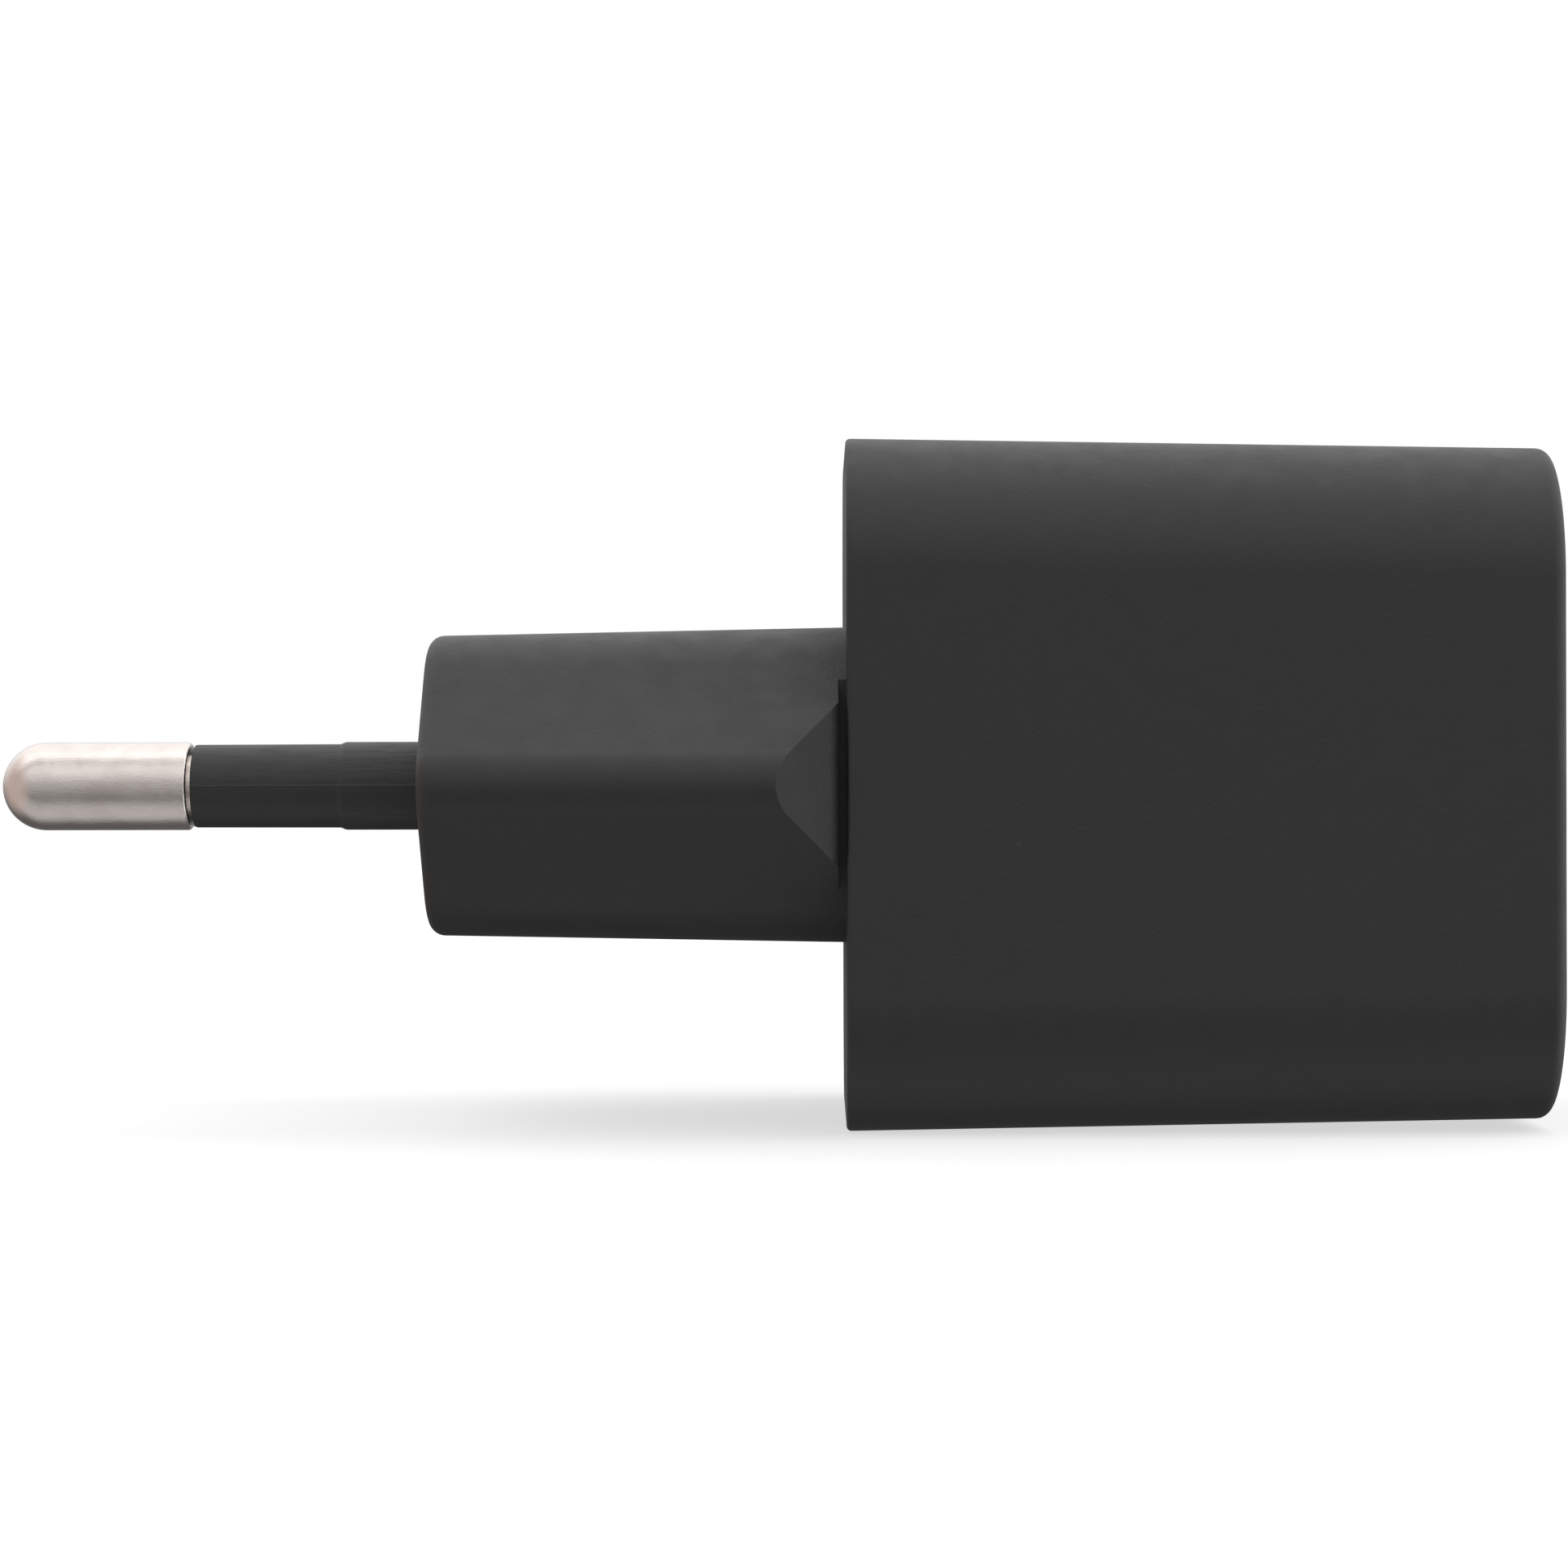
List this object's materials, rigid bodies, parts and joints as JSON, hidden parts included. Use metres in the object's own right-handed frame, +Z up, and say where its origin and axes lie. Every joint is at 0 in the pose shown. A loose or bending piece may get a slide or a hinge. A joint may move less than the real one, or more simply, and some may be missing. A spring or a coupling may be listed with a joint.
{
  "type": "usb wall charger",
  "caption": "Compact mains charger: rounded square body on a six-sided plug stem with round pins, and a socket for a charging cable in the front face.",
  "frame": {"origin": "middle of the plug's engagement face, midway between the two pins", "axes": "+X from the wall into the room, the pins side by side along Y, +Z up"},
  "size_m": [0.0703, 0.0362, 0.0314],
  "materials": {
    "housing_plastic": "charcoal, fine moulded grain",
    "sleeve_plastic": "smooth black insulation",
    "plated_pin": "nickel plated, lightly worn along the pin",
    "stamped_steel": "satin stamped steel",
    "contact_brass": "bright strip and contact plating",
    "copper_wire": "enamelled copper",
    "insulated_wire": "coloured wire insulation",
    "circuit_board": "solder mask over glass laminate",
    "solder": "tinned",
    "ferrite": "dark ground ferrite",
    "film_tape": "polyester tape",
    "chip_resin": "moulded epoxy",
    "pale_resin": "moulded epoxy",
    "disc_coating": "dipped coating",
    "fuse_coating": "dipped coating",
    "capacitor_sleeve": "shrunk sleeve",
    "capacitor_can": "bare can",
    "bobbin_resin": "moulded resin",
    "barrier_film": "insulation paper",
    "heat_plate": "plain sheet",
    "pad_silicone": "soft filled silicone",
    "chip_ceramic": "sintered chip body",
    "socket_resin": "moulded resin"
  },
  "bodies": {
    "root": {"main_housing": "housing_plastic", "front_panel": "housing_plastic", "plug_housing": "housing_plastic", "pin_retainer": "sleeve_plastic", "retainer_screw": "stamped_steel", "pin_line": "plated_pin", "pin_neutral": "plated_pin", "sleeve_line": "sleeve_plastic", "sleeve_neutral": "sleeve_plastic", "contact_strip_line": "contact_brass", "contact_strip_neutral": "contact_brass", "main_board": "circuit_board", "output_board": "circuit_board", "board_link_pins": "contact_brass", "solder_joints": "solder", "fuse": "fuse_coating", "varistor": "disc_coating", "choke_core": "ferrite", "choke_windings": "copper_wire", "bridge_rectifier": "chip_resin", "bulk_capacitor_rear": "capacitor_sleeve", "bulk_capacitor_front": "capacitor_sleeve", "primary_controller": "chip_resin", "safety_capacitor": "disc_coating", "optocoupler": "pale_resin", "core_lower": "ferrite", "core_upper": "ferrite", "bobbin": "bobbin_resin", "primary_winding": "copper_wire", "secondary_winding": "insulated_wire", "transformer_pins": "solder", "core_tape": "film_tape", "insulation_sheet": "barrier_film", "heat_spreader": "heat_plate", "thermal_pad": "pad_silicone", "sync_rectifier": "chip_resin", "protocol_controller": "chip_resin", "load_switch": "chip_resin", "output_capacitors": "capacitor_can", "chip_components": "chip_ceramic", "usb_liner": "stamped_steel", "usb_insulator": "socket_resin", "usb_contacts": "contact_brass"}
  },
  "joints": []
}
